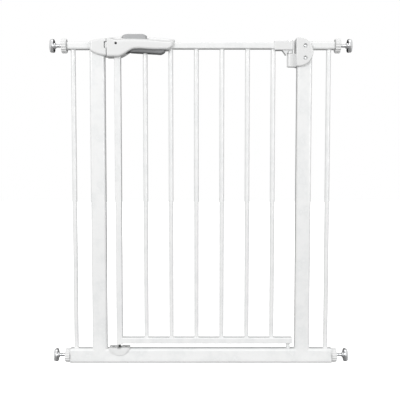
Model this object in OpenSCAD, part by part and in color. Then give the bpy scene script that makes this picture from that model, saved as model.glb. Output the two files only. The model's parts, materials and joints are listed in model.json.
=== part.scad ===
// Pressure-fit safety gate: a welded tube frame that is clamped between two walls by four threaded
// spindles, with a self-closing door, a handle with two releases and a catch on the base rail.
// Millimetres. X runs across the doorway, with the latch on the left and the hinge on the right,
// Z runs up, and Y = 0 is the middle plane. The origin is on the floor, midway between the walls.

/* [Frame] */
// Width of the tube frame, end to end of the base rail
frame_w = 626; // [600:2:780]
// Height of the tube frame, floor to the top of the top tubes
frame_h = 761; // [620:1:950]
// End of the frame to the middle of an upright
side_bay = 71; // [58:1:90]
// Wide side of the base rail and uprights
main_tube_w = 35; // [29:1:42]
// Depth of the base rail and uprights, front to back
main_tube_d = 25; // [21:1:30]
// Corner radius of the base rail and uprights
main_tube_r = 6; // [3:0.5:8]
// Wall of the frame tubes
main_wall = 1.2; // [0.8:0.1:2]
// Height of the top tubes
top_tube_h = 18; // [15:0.5:22]
// Depth of the top tubes
top_tube_d = 20; // [17:0.5:21]
// Corner radius of the top tubes
top_tube_r = 5; // [2:0.5:6]
// Diameter of the round bars
bar_d = 11; // [9:0.5:14]
// End of the frame to the middle of a side bar
side_bar_inset = 14; // [10:0.5:20]

/* [Door] */
// Height of the door rails and width of the door stile
door_tube_w = 15; // [12.5:0.5:18]
// Depth of the door tubes
door_tube_d = 18; // [15:0.5:19]
// Corner radius of the door tubes
door_tube_r = 3; // [1.5:0.5:5]
// Wall of the door tubes
door_wall = 1; // [0.8:0.1:1.5]
// Gap under the door, base rail to bottom rail
door_floor_gap = 11; // [9:0.5:14]
// Gap between the latch-side upright and the stile
stile_gap = 22; // [18:0.5:28]
// Middle of the stile to the middle of the first bar
latch_bay = 64.5; // [55:0.5:75]
// Middle of the last bar to the hinge axis
hinge_bay = 39.8; // [36:0.2:50]
// Number of door bars
bar_count = 6; // [3:1:6]

/* [Hinge] */
// Hinge-side upright to the hinge axis
hinge_inset = 15.5; // [15:0.5:20]
// Diameter of the upper hinge pin
upper_pin_d = 8; // [6:0.5:9]
// Diameter of the lower hinge pin
lower_pin_d = 6; // [5:0.5:7]
// Radial running clearance of a pin in its bush
pin_clear = 0.06; // [0.02:0.01:0.1]
// Radius of the round side of the hinge cover
cover_r = 33; // [31:0.5:36]
// Half depth of the hinge cover
cover_half_d = 20; // [19:0.5:24]
// Gap between the hinge cover and the door fitting when the door swings
swing_clear = 1; // [0.6:0.1:1.2]
// Wall of the plastic sleeve on the door's top rail
sleeve_wall = 2; // [1.5:0.1:2.4]
// Height of the pointed cam tooth under the sleeve
tooth_h = 12; // [10:0.5:14]

/* [Handle] */
// Length of the handle
handle_len = 157.5; // [157:0.5:190]
// Half depth of the handle and the latch keeper
handle_half_d = 20; // [19:0.5:24]
// Wall of the plastic housings
shell_wall = 2.4; // [2:0.1:2.5]
// Height of the handle's crown above the middle of the top rail
crown_h = 22; // [21:0.5:26]
// Thickness of the keeper against the upright
keeper_wall = 4.6; // [4:0.1:6]
// Gap between the keeper and the handle
seam_gap = 1.6; // [1.2:0.1:2.5]
// Height of the latch tongue
tongue_h = 13.4; // [10:0.2:14]
// Travel of the latch tongue and the thumb slider
tongue_travel = 5.5; // [5:0.1:5.6]
// Gap round sliding pieces
slide_clear = 0.8; // [0.4:0.1:1]
// Length of the thumb slider
slider_len = 59; // [50:1:62]
// Diameter of the pull rod and lower bolt
rod_d = 6; // [5:0.5:7]
// Lift of the pull rod
rod_lift = 6; // [5:0.5:7]

/* [Spindles] */
// Diameter of the threaded rods
spindle_d = 8; // [6:0.5:9]
// Length of the threaded rods
spindle_len = 72; // [66:1:76]
// Diameter of the adjusting wheels
wheel_d = 34; // [28:1:35]
// Thickness of the adjusting wheels
wheel_t = 12; // [8:0.5:16]
// Number of grip notches on a wheel
wheel_notches = 16; // [10:1:22]
// Bare rod between a wheel and its foot
rod_show = 14; // [13:0.5:30]
// Diameter of the wall feet
foot_d = 31; // [26:1:34]
// Thickness of the plated foot disc
foot_t = 5; // [3:0.5:7]
// Thickness of the rubber wall pad
pad_t = 4; // [2:0.5:6]

/* [Hidden] */
$fn = 48;
past = 1;                      // how far a cut runs past a face
white = "#f5f5f3";
spindle_names = ["upper_left", "lower_left", "upper_right", "lower_right"];

// Frame places
half_w = frame_w / 2;
upright_x = half_w - side_bay;
upright_out = upright_x + main_tube_w / 2;
upright_in = upright_x - main_tube_w / 2;
side_bar_x = half_w - side_bar_inset;
base_z = main_tube_w / 2;
top_z = frame_h - top_tube_h / 2;
main_half_d = main_tube_d / 2;
plug_flange = 1.5;
plug_len = 22;
cope = main_tube_r;            // how far a tube reaches down round the one it is welded to

// Door places
hinge_x = upright_in - hinge_inset;
stile_left = stile_gap - upright_in;
stile_x = stile_left + door_tube_w / 2;
stile_right = stile_left + door_tube_w;
door_half_d = door_tube_d / 2;
bottom_rail_low = main_tube_w + door_floor_gap;
bottom_rail_z = bottom_rail_low + door_tube_w / 2;
door_top = top_z + door_tube_w / 2;
first_bar_x = stile_x + latch_bay;
bar_pitch = (hinge_x - hinge_bay - first_bar_x) / (bar_count - 1);
bottom_rail_end = hinge_x + 8;
top_rail_end = hinge_x + 5;

// Hinge places
sleeve_half_d = door_half_d + sleeve_wall;
sleeve_left = hinge_x - 38;
sleeve_right = top_rail_end + 2;
sleeve_low = top_z - door_tube_w / 2 - 3;
sleeve_high = top_z + door_tube_w / 2 + 3;
cover_left = hinge_x + sleeve_half_d + swing_clear;
cover_x = cover_left + 6.4;    // middle of the cover's round side
cover_z = top_z - 16.2;
boss_r = upper_pin_d / 2 + 3.5;
boss_low = cover_z - cover_r;
boss_high = sleeve_low - 8.5;
bush_wall = 1.6;
bush_low = boss_high - 17;
rest_gap = 0.4;                // between faces that turn on each other
pin_tail_r = 2.2;              // thin end of the upper pin, inside the closing spring
hinge_screw_r = 2.5;
hinge_head_r = 4.5;
hinge_screw_gap = 28;

// Latch places
keeper_right = keeper_wall - upright_in;
keeper_left = 2 - upright_out;
keeper_low = top_z - 25;
handle_left = keeper_right + seam_gap;
handle_right = handle_left + handle_len;
nose_len = 21;
nose_x = handle_right - nose_len;
crown_x = handle_left + 46.5;
grip_low = top_z - 10.5;
bulge = 14.5 + slide_clear + 1.2;
bulge_end = stile_right - handle_left + 33.5;
ceiling = door_top + 5.9;      // top of the handle's inside
slider_floor = ceiling + 1.6;
slider_x = handle_left + 62.8;
slider_w = 17;
slider_top = top_z + 28;
post_r = 2.5;
tongue_tip = 1 - upright_in;
tongue_half_d = handle_half_d - shell_wall - 1;
tongue_block = 15;
arm_t = 2.6;
bridge_half = 7.5;
bridge_low = door_top + 0.9;
bridge_t = 4.2;
spring_seat_x = slider_x + bridge_half + 16;
dot_x = stile_left + 5.5;
dot_z = top_z + 3.4;
dot_r = 2.8;
dot_depth = 1.8;

// Release places
bar_half_d = door_half_d + 4;
bar_cheek = 3;
bar_left = handle_left + 53.3;
bar_right = handle_right - 23.2;
bar_top = top_z - door_tube_w / 2 - rod_lift - 0.3;
bar_drop = 5.7;
cheek_top = grip_low + 2;
arm_left = stile_x - 5;
rod_pin_r = 1.5;
rod_pin_z = (bar_top + cheek_top) / 2;
release_spring_x = bar_right - 16;
release_spring_low = bar_top - 4.1;
keeper_top = main_tube_w + 3;
channel_floor = main_tube_w + 0.6;
rod_tip = channel_floor + 0.6;
rod_r = rod_d / 2;
rod_top = rod_pin_z + 4;
moon_r = 26.3;
moon_z = keeper_top + 7.8;
moon_skirt = 3;

// Fasteners
small_screw_r = 1.75;
small_head_r = 3.2;
small_head_t = 2.4;
handle_screw_r = 1.5;
handle_head_t = 1.6;
pillar_half = 3.3;
handle_head_r = 2.8;
handle_screws_at = [
    [handle_left + 6.3, top_z - 17],
    [stile_right + 9.5, door_top + 2.9],
    [handle_right - 14.2, door_top + 4.1]
];
keeper_screws_at = [for (dz = [-13.5, 5]) [-upright_x, top_z + dz]];
hinge_screws_at = [for (s = [-1, 1]) [upright_x, cover_z + s * hinge_screw_gap / 2]];
keeper_bolts_x = [for (s = [-1, 1]) stile_x + s * 15];

// Spindle places
wheel_gap = 0.3;
hub_t = 3.7;
wheel_x = half_w + wheel_gap;
hub_x = wheel_x + wheel_t + rod_show;
foot_x = hub_x + hub_t;
pad_x = foot_x + foot_t;
wall_x = pad_x + pad_t;
rod_out = pad_x - 1.5;
spindle_r = spindle_d / 2;

// A rectangle with round corners
module rounded(w, h, r) {
    square([w - 2 * r, h], center = true);
    square([w, h - 2 * r], center = true);
    for (x = [-1, 1], y = [-1, 1])
        translate([x * (w / 2 - r), y * (h / 2 - r)]) circle(r = r);
}

module tube_2d(w, h, r, wall) {
    difference() {
        rounded(w, h, r);
        rounded(w - 2 * wall, h - 2 * wall, r - wall);
    }
}

// Flat shape pushed along X: its x becomes Y and its y becomes Z
module along_x(x0, x1) translate([x0, 0, 0]) rotate([90, 0, 90]) linear_extrude(x1 - x0) children();

// Flat shape pushed along Y: its x stays X and its y becomes Z
module along_y(y0, y1) translate([0, y1, 0]) rotate([90, 0, 0]) linear_extrude(y1 - y0) children();

module along_z(z0, z1) translate([0, 0, z0]) linear_extrude(z1 - z0) children();

module block(x0, x1, y0, y1, z0, z1) translate([x0, y0, z0]) cube([x1 - x0, y1 - y0, z1 - z0]);

// Round bar along Y through (x, z)
module pin_y(x, z, r, y0, y1) translate([x, y1, z]) rotate([90, 0, 0]) cylinder(r = r, h = y1 - y0);

module pin_z(x, r, z0, z1) translate([x, 0, z0]) cylinder(r = r, h = z1 - z0);

// Wire coil standing on z = 0, its surface swept along the helix
module coil(mean_r, wire_r, height, turns) {
    sides = 6;
    per_turn = 14;
    rings = turns * per_turn;
    rise = height - 2 * wire_r;
    points = [for (i = [0 : rings], j = [0 : sides - 1])
        let (a = 360 * i / per_turn, b = 360 * j / sides, r = mean_r + wire_r * cos(b))
            [r * cos(a), r * sin(a), wire_r + rise * i / rings + wire_r * sin(b)]];
    walls = [for (i = [0 : rings - 1], j = [0 : sides - 1])
        let (k = (j + 1) % sides)
            [i * sides + j, (i + 1) * sides + j, (i + 1) * sides + k, i * sides + k]];
    ends = [[for (j = [0 : sides - 1]) j], [for (j = [sides - 1 : -1 : 0]) rings * sides + j]];
    polyhedron(points, concat(walls, ends));
}

// Outer shapes that other pieces are coped or cut to
module base_rail_solid() {
    translate([0, 0, base_z]) along_x(-half_w, half_w) rounded(main_tube_d, main_tube_w, main_tube_r);
}

module upright_solid(x) {
    translate([x, 0, 0]) along_z(0, frame_h) rounded(main_tube_w, main_tube_d, main_tube_r);
}

module top_tube_solid(x0, x1) {
    translate([0, 0, top_z]) along_x(x0, x1) rounded(top_tube_d, top_tube_h, top_tube_r);
}

module stile_solid() {
    translate([stile_x, 0, 0])
        along_z(bottom_rail_low, door_top) rounded(door_tube_w, door_tube_d, door_tube_r);
}

module door_rail_solid(z, x1) {
    translate([0, 0, z]) along_x(stile_x, x1) rounded(door_tube_d, door_tube_w, door_tube_r);
}

// ---- Frame ----

module base_rail() {
    color(white) difference() {
        translate([0, 0, base_z])
            along_x(plug_flange - half_w, half_w - plug_flange)
                tube_2d(main_tube_d, main_tube_w, main_tube_r, main_wall);
        pin_z(hinge_x, lower_pin_d / 2 + 1, base_z, main_tube_w + past);
        for (x = keeper_bolts_x) pin_z(x, small_screw_r, base_z, main_tube_w + past);
    }
}

module upright_tube(x) {
    difference() {
        translate([x, 0, 0])
            along_z(main_tube_w - cope, frame_h) tube_2d(main_tube_w, main_tube_d, main_tube_r, main_wall);
        base_rail_solid();
    }
}

module left_upright() {
    color(white) difference() {
        upright_tube(-upright_x);
        for (p = keeper_screws_at) pin_y(p[0], p[1], small_screw_r, -main_tube_d, main_tube_d);
    }
}

module right_upright() {
    color(white) difference() {
        upright_tube(upright_x);
        for (p = hinge_screws_at) pin_y(p[0], p[1], hinge_screw_r, -main_tube_d, main_tube_d);
    }
}

module right_top_tube() {
    color(white) difference() {
        translate([0, 0, top_z])
            along_x(upright_out - cope, half_w - plug_flange)
                tube_2d(top_tube_d, top_tube_h, top_tube_r, main_wall);
        upright_solid(upright_x);
    }
}

module left_top_tube() mirror([1, 0, 0]) right_top_tube();

module right_side_bar() {
    color(white) difference() {
        translate([side_bar_x, 0, main_tube_w - cope])
            cylinder(d = bar_d, h = frame_h - top_tube_h - main_tube_w + cope + top_tube_r);
        base_rail_solid();
        top_tube_solid(upright_x, half_w);
    }
}

module left_side_bar() mirror([1, 0, 0]) right_side_bar();

// Plastic sleeve in a tube's end that guides a threaded rod
module tube_plug(z, depth, height, r) {
    difference() {
        translate([0, 0, z]) union() {
            along_x(half_w - plug_flange - plug_len, half_w - plug_flange)
                rounded(depth - 2 * main_wall, height - 2 * main_wall, r - main_wall);
            along_x(half_w - plug_flange, half_w) rounded(depth, height, r);
        }
        translate([0, 0, z]) along_x(half_w - plug_len - 2 * past, half_w + past) circle(r = spindle_r + 0.35);
    }
}

module tube_plugs() {
    color(white) for (m = [0, 1]) mirror([m, 0, 0]) {
        tube_plug(base_z, main_tube_d, main_tube_w, main_tube_r);
        tube_plug(top_z, top_tube_d, top_tube_h, top_tube_r);
    }
}

// Latch keeper: two halves round the top of the latch-side upright
function keeper_floor(x) = keeper_low + 11.5 * pow((keeper_right - x) / (keeper_right - keeper_left), 2);

module keeper_outline() {
    steps = 14;
    run = keeper_left - keeper_right;
    polygon(concat(
        [for (i = [0 : steps]) let (x = keeper_right + run * i / steps) [x, keeper_floor(x)]],
        [[keeper_left, frame_h + 1], [keeper_right, frame_h + 9]]
    ));
}

module keeper_hollow() {
    slot_half = tongue_h / 2 + slide_clear;
    block(-upright_out - past, -upright_in, -main_half_d, main_half_d, 0, frame_h);
    block(-upright_in, keeper_right + past, -2 * handle_half_d, 2 * handle_half_d,
        top_z - slot_half, top_z + slot_half);
}

module keeper_front() {
    color(white) difference() {
        along_y(-handle_half_d, 0) keeper_outline();
        keeper_hollow();
        for (p = keeper_screws_at) pin_y(p[0], p[1], small_screw_r, 4 - handle_half_d, 0);
    }
}

module keeper_rear() {
    color(white) difference() {
        along_y(0, handle_half_d) keeper_outline();
        keeper_hollow();
        for (p = keeper_screws_at) {
            pin_y(p[0], p[1], small_screw_r, 0, handle_half_d);
            pin_y(p[0], p[1], small_head_r, handle_half_d - small_head_t, handle_half_d + past);
        }
    }
}

module frame_screws() {
    color("silver") {
        for (p = keeper_screws_at) {
            pin_y(p[0], p[1], small_screw_r, 4 - handle_half_d, handle_half_d - small_head_t);
            pin_y(p[0], p[1], small_head_r, handle_half_d - small_head_t, handle_half_d);
        }
        for (x = keeper_bolts_x) {
            pin_z(x, small_screw_r, main_tube_w - 8, keeper_top - small_head_t);
            pin_z(x, small_head_r, keeper_top - small_head_t, keeper_top);
        }
    }
}

// Hinge cover: two halves round the hinge-side upright, with the round boss that holds the bush
module cover_outline() {
    translate([cover_left, cover_z - cover_r]) square([cover_x - cover_left, 2 * cover_r]);
    intersection() {
        translate([cover_x, cover_z]) circle(r = cover_r, $fn = 96);
        translate([cover_x, cover_z - cover_r]) square([cover_r, 2 * cover_r]);
    }
}

module cover_whole() {
    difference() {
        union() {
            along_y(-cover_half_d, cover_half_d) cover_outline();
            pin_z(hinge_x, boss_r, boss_low, boss_high);
            block(hinge_x, cover_left, -boss_r, boss_r, boss_low, boss_high);
        }
        block(upright_in, cover_x + 2 * cover_r, -main_half_d, main_half_d, 0, frame_h);
        pin_z(hinge_x, upper_pin_d / 2 + pin_clear + bush_wall, boss_low + 2, boss_high + past);
        for (p = hinge_screws_at) {
            pin_y(p[0], p[1], hinge_screw_r, -2 * cover_half_d, cover_half_d - 4);
            pin_y(p[0], p[1], hinge_head_r, -2 * cover_half_d, 3.2 - cover_half_d);
        }
    }
}

module hinge_cover_front() {
    color(white) intersection() {
        cover_whole();
        block(hinge_x - 2 * boss_r, cover_x + 2 * cover_r, -2 * cover_half_d, 0, 0, frame_h + cover_r);
    }
}

module hinge_cover_rear() {
    color(white) intersection() {
        cover_whole();
        block(hinge_x - 2 * boss_r, cover_x + 2 * cover_r, 0, 2 * cover_half_d, 0, frame_h + cover_r);
    }
}

module hinge_screws() {
    color("silver") for (p = hinge_screws_at) difference() {
        union() {
            pin_y(p[0], p[1], hinge_screw_r, 3.2 - cover_half_d, cover_half_d - 4);
            pin_y(p[0], p[1], hinge_head_r - 0.6, 0.8 - cover_half_d, 3.2 - cover_half_d);
        }
        for (a = [0, 90]) translate([p[0], 0.8 - cover_half_d, p[1]]) rotate([0, a, 0])
            cube([4.4, 3, 1], center = true);
    }
}

module upper_hinge_bush() {
    color("ivory") difference() {
        pin_z(hinge_x, upper_pin_d / 2 + pin_clear + bush_wall, bush_low, boss_high);
        pin_z(hinge_x, upper_pin_d / 2 + pin_clear, bush_low - past, boss_high + past);
    }
}

module closing_spring() {
    color("silver") translate([hinge_x, 0, boss_low + 2.2])
        coil(upper_pin_d / 2 + 0.4, 0.55, bush_low - boss_low - 2.6, 6);
}

// Collar and pin that stand on the base rail under the hinge end of the door
module lower_hinge_pin() {
    color(white) union() {
        pin_z(hinge_x, lower_pin_d / 2 + 1, main_tube_w - 10, main_tube_w);
        pin_z(hinge_x, lower_pin_d / 2 + 1.9, main_tube_w, bottom_rail_low - 0.5 - rest_gap);
        pin_z(hinge_x, lower_pin_d / 2, bottom_rail_low - 0.5 - rest_gap, bottom_rail_low + 11);
    }
}

// Catch on the base rail with a channel for the lower bolt
module lower_keeper() {
    color(white) difference() {
        intersection() {
            translate([stile_x, 0, moon_z])
                along_y(-main_half_d - moon_skirt, main_half_d + moon_skirt) circle(r = moon_r, $fn = 96);
            block(-half_w, half_w, -main_tube_d, main_tube_d, 0, keeper_top);
        }
        base_rail_solid();
        block(stile_x - rod_r - 1.5, stile_x + rod_r + 1.5, -main_tube_d, main_tube_d,
            channel_floor, keeper_top + past);
        for (x = keeper_bolts_x) {
            pin_z(x, small_screw_r, 0, keeper_top + past);
            pin_z(x, small_head_r, keeper_top - small_head_t, keeper_top + past);
        }
    }
}

// ---- Door ----

module door_top_rail() {
    color(white) difference() {
        translate([0, 0, top_z])
            along_x(stile_x, top_rail_end) tube_2d(door_tube_d, door_tube_w, door_tube_r, door_wall);
        stile_solid();
        pin_z(hinge_x, upper_pin_d / 2, 0, 2 * frame_h);
    }
}

module door_bottom_rail() {
    color(white) difference() {
        translate([0, 0, bottom_rail_z])
            along_x(stile_x, bottom_rail_end) tube_2d(door_tube_d, door_tube_w, door_tube_r, door_wall);
        stile_solid();
        pin_z(hinge_x, lower_pin_d / 2 + 2.5, 0, bottom_rail_z);
    }
}

module door_stile() {
    slot_top = rod_pin_z + rod_lift + rod_pin_r + 0.4;
    color(white) difference() {
        translate([stile_x, 0, 0])
            along_z(bottom_rail_low, door_top) tube_2d(door_tube_w, door_tube_d, door_tube_r, door_wall);
        block(stile_x - rod_pin_r - 0.4, stile_x + rod_pin_r + 0.4, -door_tube_d, door_tube_d,
            rod_pin_z - rod_pin_r - 0.4, slot_top);
    }
}

function bar_x(i) = first_bar_x + (i - 1) * bar_pitch;

module door_bar(i) {
    color(white) pin_z(bar_x(i), bar_d / 2, bottom_rail_z + door_tube_w / 2, top_z - door_tube_w / 2);
}

// Holes that let the door bars through a piece under the top rail
module bar_holes(gap) {
    for (i = [1 : bar_count]) pin_z(bar_x(i), bar_d / 2 + gap, bottom_rail_z, top_z);
}

// Plastic sleeve on the hinge end of the top rail, with a pointed tooth under it
module hinge_fitting() {
    end_r = 5;
    color(white) difference() {
        union() {
            along_z(sleeve_low, sleeve_high) union() {
                translate([sleeve_left, -sleeve_half_d])
                    square([sleeve_right - end_r - sleeve_left, 2 * sleeve_half_d]);
                translate([sleeve_right - end_r - past, end_r - sleeve_half_d])
                    square([end_r + past, 2 * (sleeve_half_d - end_r)]);
                for (s = [-1, 1]) translate([sleeve_right - end_r, s * (sleeve_half_d - end_r)]) circle(r = end_r);
            }
            along_y(-8, 8) polygon([[hinge_x - 19, sleeve_low + past], [hinge_x - 19, sleeve_low],
                [hinge_x - 10.5, sleeve_low - tooth_h], [hinge_x - 3.5, sleeve_low], [hinge_x - 3.5, sleeve_low + past]]);
            pin_z(hinge_x, boss_r - 0.5, boss_high + rest_gap, sleeve_low + past);
        }
        translate([0, 0, top_z])
            along_x(stile_x, top_rail_end) rounded(door_tube_d, door_tube_w, door_tube_r);
        bar_holes(rest_gap);
        pin_z(hinge_x, upper_pin_d / 2, 0, 2 * frame_h);
    }
}

module upper_hinge_pin() {
    color("silver") union() {
        pin_z(hinge_x, upper_pin_d / 2 + 2, sleeve_high, sleeve_high + 2);
        pin_z(hinge_x, upper_pin_d / 2, bush_low, sleeve_high);
        pin_z(hinge_x, pin_tail_r, boss_low + 3, bush_low);
    }
}

module lower_hinge_bush() {
    color("ivory") difference() {
        union() {
            pin_z(hinge_x, lower_pin_d / 2 + 4, bottom_rail_low - 0.5, bottom_rail_low);
            pin_z(hinge_x, lower_pin_d / 2 + 2.5, bottom_rail_low, bottom_rail_low + door_tube_w - door_tube_r);
        }
        pin_z(hinge_x, lower_pin_d / 2 + pin_clear, 0, bottom_rail_low + 11.5);
    }
}

module bottom_rail_cap() {
    color(white) translate([0, 0, bottom_rail_z]) union() {
        along_x(bottom_rail_end - 2.2, bottom_rail_end)
            rounded(door_tube_d - 2 * door_wall, door_tube_w - 2 * door_wall, door_tube_r - door_wall);
        along_x(bottom_rail_end, bottom_rail_end + 1.5) rounded(door_tube_d, door_tube_w, door_tube_r);
    }
}

// Plug in the foot of the stile that guides the lower bolt
module stile_foot() {
    color(white) difference() {
        translate([stile_x, 0, 0]) union() {
            along_z(bottom_rail_low - 1.5, bottom_rail_low) rounded(door_tube_w, door_tube_d, door_tube_r);
            along_z(bottom_rail_low, bottom_rail_low + 16)
                rounded(door_tube_w - 2 * door_wall, door_tube_d - 2 * door_wall, door_tube_r - door_wall);
        }
        pin_z(stile_x, rod_r + pin_clear, 0, bottom_rail_low + 20);
    }
}

// ---- Handle ----

// The handle's upper edge: two parabolas that meet at the crown
function handle_top(x) = x < crown_x
    ? top_z + crown_h - 4 * pow((crown_x - x) / (crown_x - handle_left), 2)
    : top_z + crown_h - 7 * pow((x - crown_x) / (handle_right - crown_x), 2);

// Its lower edge: a bulge round the stile that eases into the grip, and an elliptical nose
function bulge_share(x) = let (t = (x - handle_left - 24) / (bulge_end - 24))
    t < 0 ? 1 : t > 1 ? 0 : (1 + cos(180 * t)) / 2;
function handle_low(x) = x < nose_x
    ? grip_low - bulge * bulge_share(x)
    : handle_top(handle_right) - (handle_top(handle_right) - grip_low) * sqrt(1 - pow((x - nose_x) / nose_len, 2));

module handle_outline() {
    steps = 40;
    polygon(concat(
        [for (i = [0 : steps]) let (x = handle_left + (nose_x - handle_left) * i / steps) [x, handle_low(x)]],
        [for (a = [8 : 8 : 88]) let (x = nose_x + nose_len * sin(a)) [x, handle_low(x)]],
        [for (i = [steps : -1 : 0]) let (x = handle_left + handle_len * i / steps) [x, handle_top(x)]]
    ));
}

module handle_inside() {
    steps = 24;
    x0 = handle_left + shell_wall;
    x1 = nose_x - 2;
    polygon(concat(
        [for (i = [0 : steps]) let (x = x0 + (x1 - x0) * i / steps) [x, handle_low(x) + shell_wall]],
        [[x1, ceiling], [x0, ceiling]]
    ));
}

// One side of the handle, the front one, without its screw holes
module handle_half() {
    inner_d = handle_half_d - shell_wall;
    slot_half = tongue_h / 2 + slide_clear;
    recess = slider_w + 1.2;
    difference() {
        along_y(-handle_half_d, 0) handle_outline();
        difference() {
            along_y(-inner_d, past) handle_inside();
            pin_y(handle_screws_at[0][0], handle_screws_at[0][1], pillar_half, -handle_half_d, 2 * past);
            for (x = [handle_screws_at[1][0], spring_seat_x + pillar_half])
                block(x - pillar_half, x + pillar_half, -handle_half_d, 2 * past, door_top, frame_h + crown_h);
        }
        door_rail_solid(top_z, hinge_x);
        stile_solid();
        bar_holes(rest_gap);
        // Window for the tongue
        block(handle_left - past, handle_left + shell_wall + past, -tongue_half_d - 0.6, past,
            top_z - slot_half, top_z + slot_half);
        // Slot for the squeeze bar
        block(bar_left - 10, bar_right + 1.5, -bar_half_d - 0.5, past, 0, grip_low + shell_wall + past);
        // Recess and post slot for the thumb slider
        translate([slider_x + tongue_travel / 2, 0, 0]) {
            along_z(slider_floor, 2 * frame_h)
                rounded(slider_len + tongue_travel + 2, recess, recess / 2 - 0.1);
            block(-tongue_travel / 2 - post_r - 0.8, tongue_travel / 2 + post_r + 0.8, -post_r - 0.8, past,
                ceiling - past, slider_floor + past);
        }
    }
}

module handle_front() {
    color(white) difference() {
        handle_half();
        for (p = handle_screws_at) pin_y(p[0], p[1], handle_screw_r, 5 - handle_half_d, past);
        pin_y(dot_x, dot_z, dot_r, -2 * handle_half_d, dot_depth - handle_half_d);
    }
}

module handle_rear() {
    color(white) difference() {
        mirror([0, 1, 0]) handle_half();
        for (p = handle_screws_at) {
            pin_y(p[0], p[1], handle_screw_r, -past, handle_half_d);
            pin_y(p[0], p[1], handle_head_r, handle_half_d - handle_head_t, handle_half_d + past);
        }
    }
}

module handle_screws() {
    color("silver") for (p = handle_screws_at) {
        pin_y(p[0], p[1], handle_screw_r, 5 - handle_half_d, handle_half_d - handle_head_t);
        pin_y(p[0], p[1], handle_head_r, handle_half_d - handle_head_t, handle_half_d);
    }
}

module indicator_dot() {
    color("#222222") pin_y(dot_x, dot_z, dot_r, 0.3 - handle_half_d, dot_depth - handle_half_d);
}

// Thumb slider with the post that carries the tongue
module lock_slider() {
    under = slider_floor + 0.3;
    color("#b9bcbe") difference() {
        union() {
            translate([slider_x, 0, 0]) {
                along_z(under, slider_top - 2) rounded(slider_len, slider_w, slider_w / 2 - 0.1);
                along_z(slider_top - 2, slider_top) rounded(slider_len - 3, slider_w - 3, slider_w / 2 - 1.6);
            }
            pin_z(slider_x, post_r, bridge_low, under);
        }
        for (k = [-1 : 1]) translate([slider_x + 5 * k, 0, slider_top])
            rotate([90, 0, 0]) cylinder(r = 1, h = slider_w + past, center = true);
    }
}

// Tongue that crosses the seam into the keeper, on a yoke round the stile and over the top rail
module latch_tongue() {
    low = top_z - tongue_h / 2;
    high = top_z + tongue_h / 2;
    bridge_left = slider_x - bridge_half;
    bridge_right = slider_x + bridge_half;
    color(white) difference() {
        union() {
            block(tongue_tip, tongue_tip + tongue_block, -tongue_half_d, tongue_half_d, low, high);
            for (m = [0, 1]) mirror([0, m, 0]) {
                block(tongue_tip + tongue_block, bridge_right, tongue_half_d - arm_t, tongue_half_d, low, high);
                block(bridge_left, bridge_right, tongue_half_d - arm_t, tongue_half_d, high, bridge_low + bridge_t);
            }
            block(bridge_left, bridge_right, arm_t - tongue_half_d, tongue_half_d - arm_t,
                bridge_low, bridge_low + bridge_t);
        }
        pin_z(slider_x, post_r + 0.3, bridge_low - past, bridge_low + bridge_t + past);
    }
}

module tongue_spring() {
    start = slider_x + bridge_half + 0.2;
    color("silver") translate([start, 0, bridge_low + bridge_t / 2]) rotate([0, 90, 0])
        coil(1.6, 0.35, spring_seat_x - start, 9);
}

// Bar under the grip: squeezing it up lifts the pull rod
module squeeze_bar() {
    color("#4d5053") difference() {
        union() {
            along_y(-bar_half_d, bar_half_d) polygon([
                [bar_left, bar_top], [bar_left, bar_top - 1.6], [bar_right - 8, bar_top - bar_drop],
                [bar_right - 3, bar_top - bar_drop], [bar_right, bar_top - 2], [bar_right, bar_top]]);
            for (m = [0, 1]) mirror([0, m, 0])
                block(arm_left, bar_right, bar_half_d - bar_cheek, bar_half_d, bar_top, cheek_top);
        }
        pin_y(stile_x, rod_pin_z, rod_pin_r, -handle_half_d, handle_half_d);
        pin_z(release_spring_x, 4.2, release_spring_low, top_z);
        bar_holes(slide_clear);
    }
}

module release_spring() {
    color("silver") translate([release_spring_x, 0, release_spring_low])
        coil(3, 0.45, top_z - door_tube_w / 2 - release_spring_low, 5);
}

module pull_rod() {
    color("#2b2c2e") difference() {
        union() {
            pin_z(stile_x, rod_r - 1, rod_tip, rod_tip + 1);
            pin_z(stile_x, rod_r, rod_tip + 1, rod_top);
        }
        pin_y(stile_x, rod_pin_z, rod_pin_r, -door_tube_d, door_tube_d);
    }
}

module rod_pin() {
    color("silver") pin_y(stile_x, rod_pin_z, rod_pin_r, -bar_half_d, bar_half_d);
}

// ---- Spindles ----

// Puts a piece that is built outwards along +Z at the end of the tube that name stands for
module at_tube_end(name) {
    side = name == "upper_left" || name == "lower_left" ? -1 : 1;
    z = name == "upper_left" || name == "upper_right" ? top_z : base_z;
    translate([0, 0, z]) rotate([0, side * 90, 0]) children();
}

module spindle_rod(name) {
    color("silver") at_tube_end(name) translate([0, 0, rod_out - spindle_len]) cylinder(r = spindle_r, h = spindle_len);
}

// Threaded wheel with grip notches and a hollow back
module spindle_wheel(name) {
    notch_r = 1.5;
    color(white) at_tube_end(name) translate([0, 0, wheel_x]) difference() {
        cylinder(d = wheel_d, h = wheel_t);
        translate([0, 0, -past]) cylinder(r = spindle_r + pin_clear, h = wheel_t + 2 * past);
        translate([0, 0, -past]) difference() {
            cylinder(r = wheel_d / 2 - 3, h = past + wheel_t / 2);
            cylinder(r = spindle_r + 3, h = past + wheel_t / 2);
        }
        for (i = [1 : wheel_notches]) rotate([0, 0, 360 * i / wheel_notches])
            translate([wheel_d / 2 + 0.6, 0, -past]) cylinder(r = notch_r, h = wheel_t + 2 * past);
    }
}

module spindle_foot(name) {
    edge = 1.2;
    color("silver") at_tube_end(name) difference() {
        union() {
            translate([0, 0, hub_x]) cylinder(r = spindle_r + 2.5, h = hub_t);
            translate([0, 0, foot_x]) cylinder(r = foot_d / 2 - edge, h = edge);
            translate([0, 0, foot_x + edge]) cylinder(d = foot_d, h = foot_t - edge);
        }
        translate([0, 0, hub_x - past]) cylinder(r = spindle_r, h = rod_out - hub_x + past);
    }
}

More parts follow.
